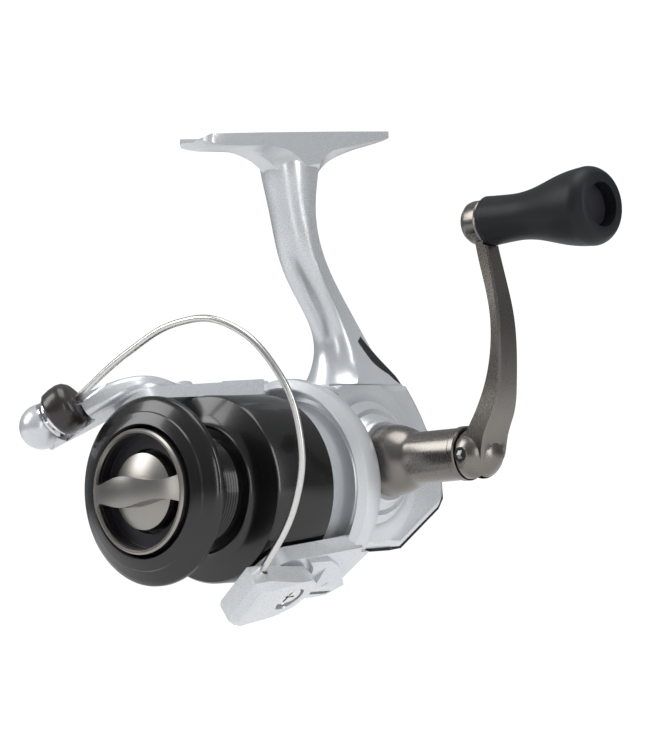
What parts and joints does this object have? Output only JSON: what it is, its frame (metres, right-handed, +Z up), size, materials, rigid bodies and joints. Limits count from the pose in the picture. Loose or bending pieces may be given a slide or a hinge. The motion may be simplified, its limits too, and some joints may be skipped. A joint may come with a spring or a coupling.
{
  "type": "open-face spinning reel",
  "caption": "Open-face spinning reel with a fixed spool, spinning rotor, flip-over wire bail, front drag knob, folding crank handle and a foot for a rod's reel seat.",
  "frame": {"origin": "the middle of the foot's top, where the rod's reel seat bears", "axes": "+Z up out of the foot, square to the main shaft, +X to the handle, the spool faces -Y"},
  "size_m": [0.123, 0.1052, 0.1174],
  "materials": {
    "silver_paint": "satin bluish-white silver paint",
    "black_trim": "glossy black trim",
    "spool_metal": "dark gunmetal anodised, satin",
    "drag_dark": "black satin",
    "pewter": "pewter satin metal",
    "handle_metal": "warm dark gunmetal satin",
    "knob_rubber": "matte dark blue-grey",
    "stainless": "polished stainless",
    "chrome": "polished",
    "cap_dark": "dark brown-black",
    "steel": "ground steel",
    "brass": "machined brass",
    "zinc": "die-cast zinc",
    "felt": "greased felt",
    "polymer": "acetal"
  },
  "bodies": {
    "body": {"housing": "silver_paint", "side_cover": "silver_paint", "side_cover_screws": "chrome", "rear_cover": "black_trim", "drive_bearings": "steel", "pinion_bearing": "steel", "pinion_bushing": "polymer", "clutch_ring": "steel", "clutch_rollers": "steel", "clutch_plate": "steel", "clutch_plate_screws": "chrome", "guide_rods": "stainless"},
    "crank_wheel": {"oscillation_gear": "polymer"},
    "drive": {"drive_gear": "zinc", "drive_shaft": "steel", "handle_shaft": "stainless", "handle_cap": "handle_metal", "handle_sleeve": "handle_metal"},
    "handle_lever": {"handle_arm": "handle_metal", "fold_pin": "chrome", "knob_shaft": "stainless", "knob_screw": "chrome"},
    "grip": {"handle_knob": "knob_rubber", "knob_end_cap": "drag_dark", "knob_bushings": "polymer"},
    "rotor_group": {"pinion_gear": "brass", "clutch_sleeve": "steel", "rotor": "silver_paint", "rotor_nut": "brass", "nut_lock": "steel", "nut_lock_screw": "chrome", "arm_cover_a": "silver_paint", "arm_cover_b": "silver_paint", "arm_cover_screws": "chrome", "bail_spring": "stainless", "spring_guide": "stainless", "trip_lever": "polymer"},
    "bail": {"bail_lever_a": "silver_paint", "bail_lever_b": "silver_paint", "lever_screws": "chrome", "bail_wire": "stainless", "wire_cap": "cap_dark", "roller_bushing": "polymer", "roller_screw": "chrome"},
    "roller": {"line_roller": "chrome"},
    "shaft_group": {"main_shaft": "stainless", "oscillation_slider": "zinc", "slider_screw": "chrome", "spool_support": "steel", "click_gear": "polymer", "drag_washers": "steel"},
    "spool_group": {"spool": "spool_metal", "line_clip": "spool_metal", "click_pawl": "polymer", "friction_washers": "felt", "washer_retainer": "stainless"},
    "drag_adjuster": {"drag_knob": "drag_dark", "drag_dial": "pewter", "drag_nut": "brass", "drag_spring": "stainless"}
  },
  "joints": [
    {"name": "handle_turn", "type": "hinge", "parent": "body", "child": "drive", "pos_m": [0, 0.0098, -0.07918], "axis": [1, 0, 0], "continuous": true},
    {"name": "rotor_turn", "type": "hinge", "parent": "body", "child": "rotor_group", "pos_m": [0, 0.0098, -0.08388], "axis": [0, 1, 0], "continuous": true},
    {"name": "crank_wheel_turn", "type": "hinge", "parent": "body", "child": "crank_wheel", "pos_m": [0, 0.0244, -0.08288], "axis": [1, 0, 0], "continuous": true},
    {"name": "handle_fold", "type": "hinge", "parent": "drive", "child": "handle_lever", "pos_m": [0.0446, 0.0098, -0.07958], "axis": [0, 1, 0], "range_deg": [0, 90]},
    {"name": "knob_turn", "type": "hinge", "parent": "handle_lever", "child": "grip", "pos_m": [0.06, 0.0098, -0.02648], "axis": [1, 0, 0], "continuous": true},
    {"name": "bail_flip", "type": "hinge", "parent": "rotor_group", "child": "bail", "pos_m": [0, -0.0272, -0.08388], "axis": [-0.5446, 0, 0.8387], "range_deg": [-105, 0]},
    {"name": "roller_turn", "type": "hinge", "parent": "bail", "child": "roller", "pos_m": [-0.02749, -0.0522, -0.06358], "axis": [0.7911, 0.3322, 0.5137], "continuous": true},
    {"name": "spool_travel", "type": "slide", "parent": "body", "child": "shaft_group", "axis": [0, -1, 0], "range_m": [-0.001, 0.012]},
    {"name": "spool_turn", "type": "hinge", "parent": "shaft_group", "child": "spool_group", "pos_m": [0, -0.0402, -0.08388], "axis": [0, 1, 0], "continuous": true},
    {"name": "drag_turn", "type": "hinge", "parent": "shaft_group", "child": "drag_adjuster", "pos_m": [0, -0.0522, -0.08388], "axis": [0, 1, 0], "range_deg": [-180, 180]}
  ],
  "couplings": [
    {"joint": "rotor_turn", "follows": "handle_turn", "ratio": 5},
    {"joint": "crank_wheel_turn", "follows": "handle_turn", "ratio": -0.42857}
  ]
}
